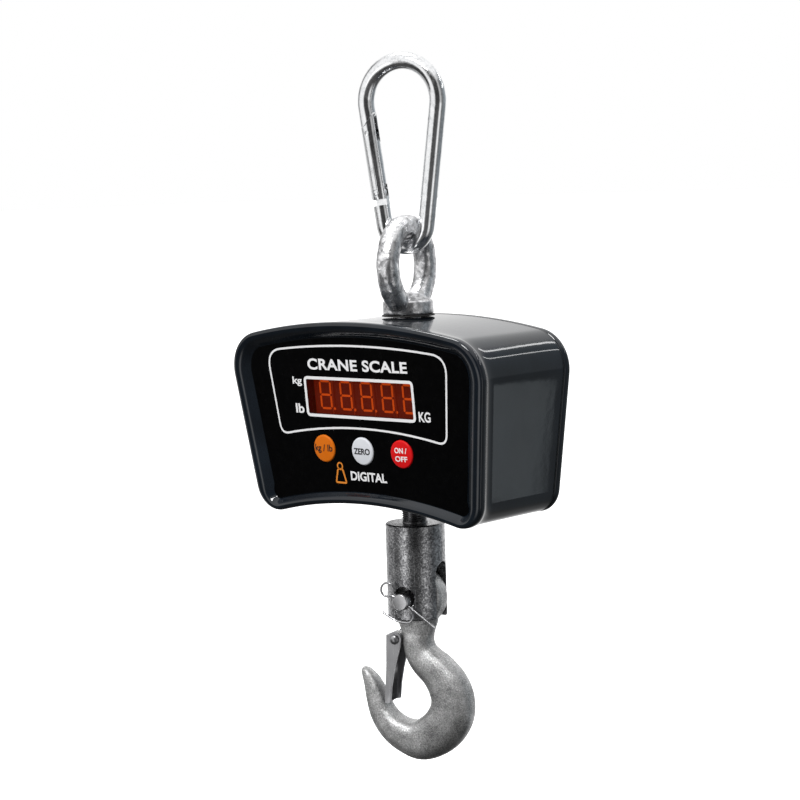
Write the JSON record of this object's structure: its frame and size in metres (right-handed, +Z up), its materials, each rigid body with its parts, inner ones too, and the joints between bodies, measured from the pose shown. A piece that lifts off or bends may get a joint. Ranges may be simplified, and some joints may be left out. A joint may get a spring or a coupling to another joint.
{
  "type": "crane scale",
  "caption": "Hanging crane scale: carabiner and eye bolt above a tapered black housing with a red digit display and round keys, and a swivel hook with a sprung latch below.",
  "frame": {"origin": "inside top of the carabiner's upper bow, the point it hangs from", "axes": "+Z up along the load line, the display and keys face -Y, +X to the viewer's right"},
  "size_m": [0.2276, 0.1024, 0.4999],
  "materials": {
    "bright_zinc": "bright zinc plated steel",
    "forged_zinc": "hot dip galvanised forging, mottled",
    "plated_steel": "dull plated steel",
    "cast_zinc": "sand textured forging, grey zinc",
    "sheet_steel": "satin plated sheet",
    "spring_steel": "spring wire",
    "dark_steel": "dark phosphated thread",
    "bearing_steel": "polished",
    "black_paint": "gloss black enamel on die cast aluminium",
    "film": "gloss black film with white print",
    "window": "red tinted",
    "led": "seven segment module",
    "circuit": "green board",
    "black_plastic": "moulded",
    "orange_key": "domed",
    "white_key": "domed",
    "red_key": "domed",
    "cell_aluminium": "milled",
    "brass_standoff": "turned",
    "battery_case": "moulded case",
    "lead_sheath": "flexible sheath",
    "red_wire": "flexible wire",
    "seal_rubber": "soft seal"
  },
  "bodies": {
    "carabiner": {"carabiner_frame": "bright_zinc", "gate_pivot_rivet": "bright_zinc"},
    "gate": {"carabiner_gate": "bright_zinc", "gate_catch_pin": "bright_zinc", "gate_spring": "spring_steel", "gate_plunger": "bright_zinc"},
    "scale_body": {"eye_bolt": "forged_zinc", "eye_seal": "seal_rubber", "housing": "black_paint", "front_overlay": "film", "display_window": "window", "display_digits": "led", "display_board": "circuit", "display_screws": "bright_zinc", "key_switches": "black_plastic", "load_cell": "cell_aluminium", "load_cell_lead": "lead_sheath", "main_board": "circuit", "board_standoffs": "brass_standoff", "board_screws": "bright_zinc", "battery": "battery_case", "battery_bracket": "sheet_steel", "bracket_screws": "bright_zinc", "battery_leads": "red_wire", "rear_gasket": "seal_rubber", "rear_cover": "black_paint", "rear_screws": "bright_zinc", "charge_socket": "black_plastic", "socket_nut": "bright_zinc", "lower_stud": "dark_steel", "stud_lock_nut": "plated_steel", "bottom_seal": "seal_rubber", "bearing_lower_race": "bearing_steel", "bearing_balls": "bearing_steel", "swivel_nut": "plated_steel", "nut_pin": "plated_steel"},
    "unit_button": {"unit_key": "orange_key"},
    "zero_button": {"zero_key": "white_key"},
    "power_button": {"power_key": "red_key"},
    "swivel": {"swivel_head": "plated_steel", "bearing_upper_race": "bearing_steel", "cross_pin": "plated_steel", "split_pin": "bright_zinc"},
    "hook_body": {"hook": "cast_zinc", "latch_rivet": "sheet_steel"},
    "latch_body": {"latch": "sheet_steel", "latch_spring": "spring_steel"}
  },
  "joints": [
    {"name": "gate_hinge", "type": "hinge", "parent": "carabiner", "child": "gate", "pos_m": [-0.01908, -0.0044, -0.08449], "axis": [-0.225, 0.9744, 0], "range_deg": [0, 26], "stiffness_Nm_per_rad": 0.02, "springref_deg": -34.38},
    {"name": "scale_swing", "type": "hinge", "parent": "carabiner", "child": "scale_body", "pos_m": [0, 0, -0.122], "axis": [0.9744, 0.225, 0], "range_deg": [-60, 60]},
    {"name": "swivel_turn", "type": "hinge", "parent": "scale_body", "child": "swivel", "pos_m": [0, 0, -0.35], "axis": [0, 0, 1], "continuous": true},
    {"name": "hook_tilt", "type": "hinge", "parent": "swivel", "child": "hook_body", "pos_m": [0, 0, -0.36965], "axis": [-0.225, 0.9744, 0], "range_deg": [-25, 25]},
    {"name": "latch_hinge", "type": "hinge", "parent": "hook_body", "child": "latch_body", "pos_m": [-0.01462, -0.00337, -0.40065], "axis": [0.225, -0.9744, 0], "range_deg": [0, 25], "stiffness_Nm_per_rad": 0.05, "springref_deg": -51.57},
    {"name": "unit_press", "type": "slide", "parent": "scale_body", "child": "unit_button", "axis": [0, 0.9954, 0.0958], "range_m": [0, 0.0006], "stiffness_N_per_m": 900, "springref_m": -0.0005},
    {"name": "zero_press", "type": "slide", "parent": "scale_body", "child": "zero_button", "axis": [0, 0.9954, 0.0958], "range_m": [0, 0.0006], "stiffness_N_per_m": 900, "springref_m": -0.0005},
    {"name": "power_press", "type": "slide", "parent": "scale_body", "child": "power_button", "axis": [0, 0.9954, 0.0958], "range_m": [0, 0.0006], "stiffness_N_per_m": 900, "springref_m": -0.0005}
  ]
}
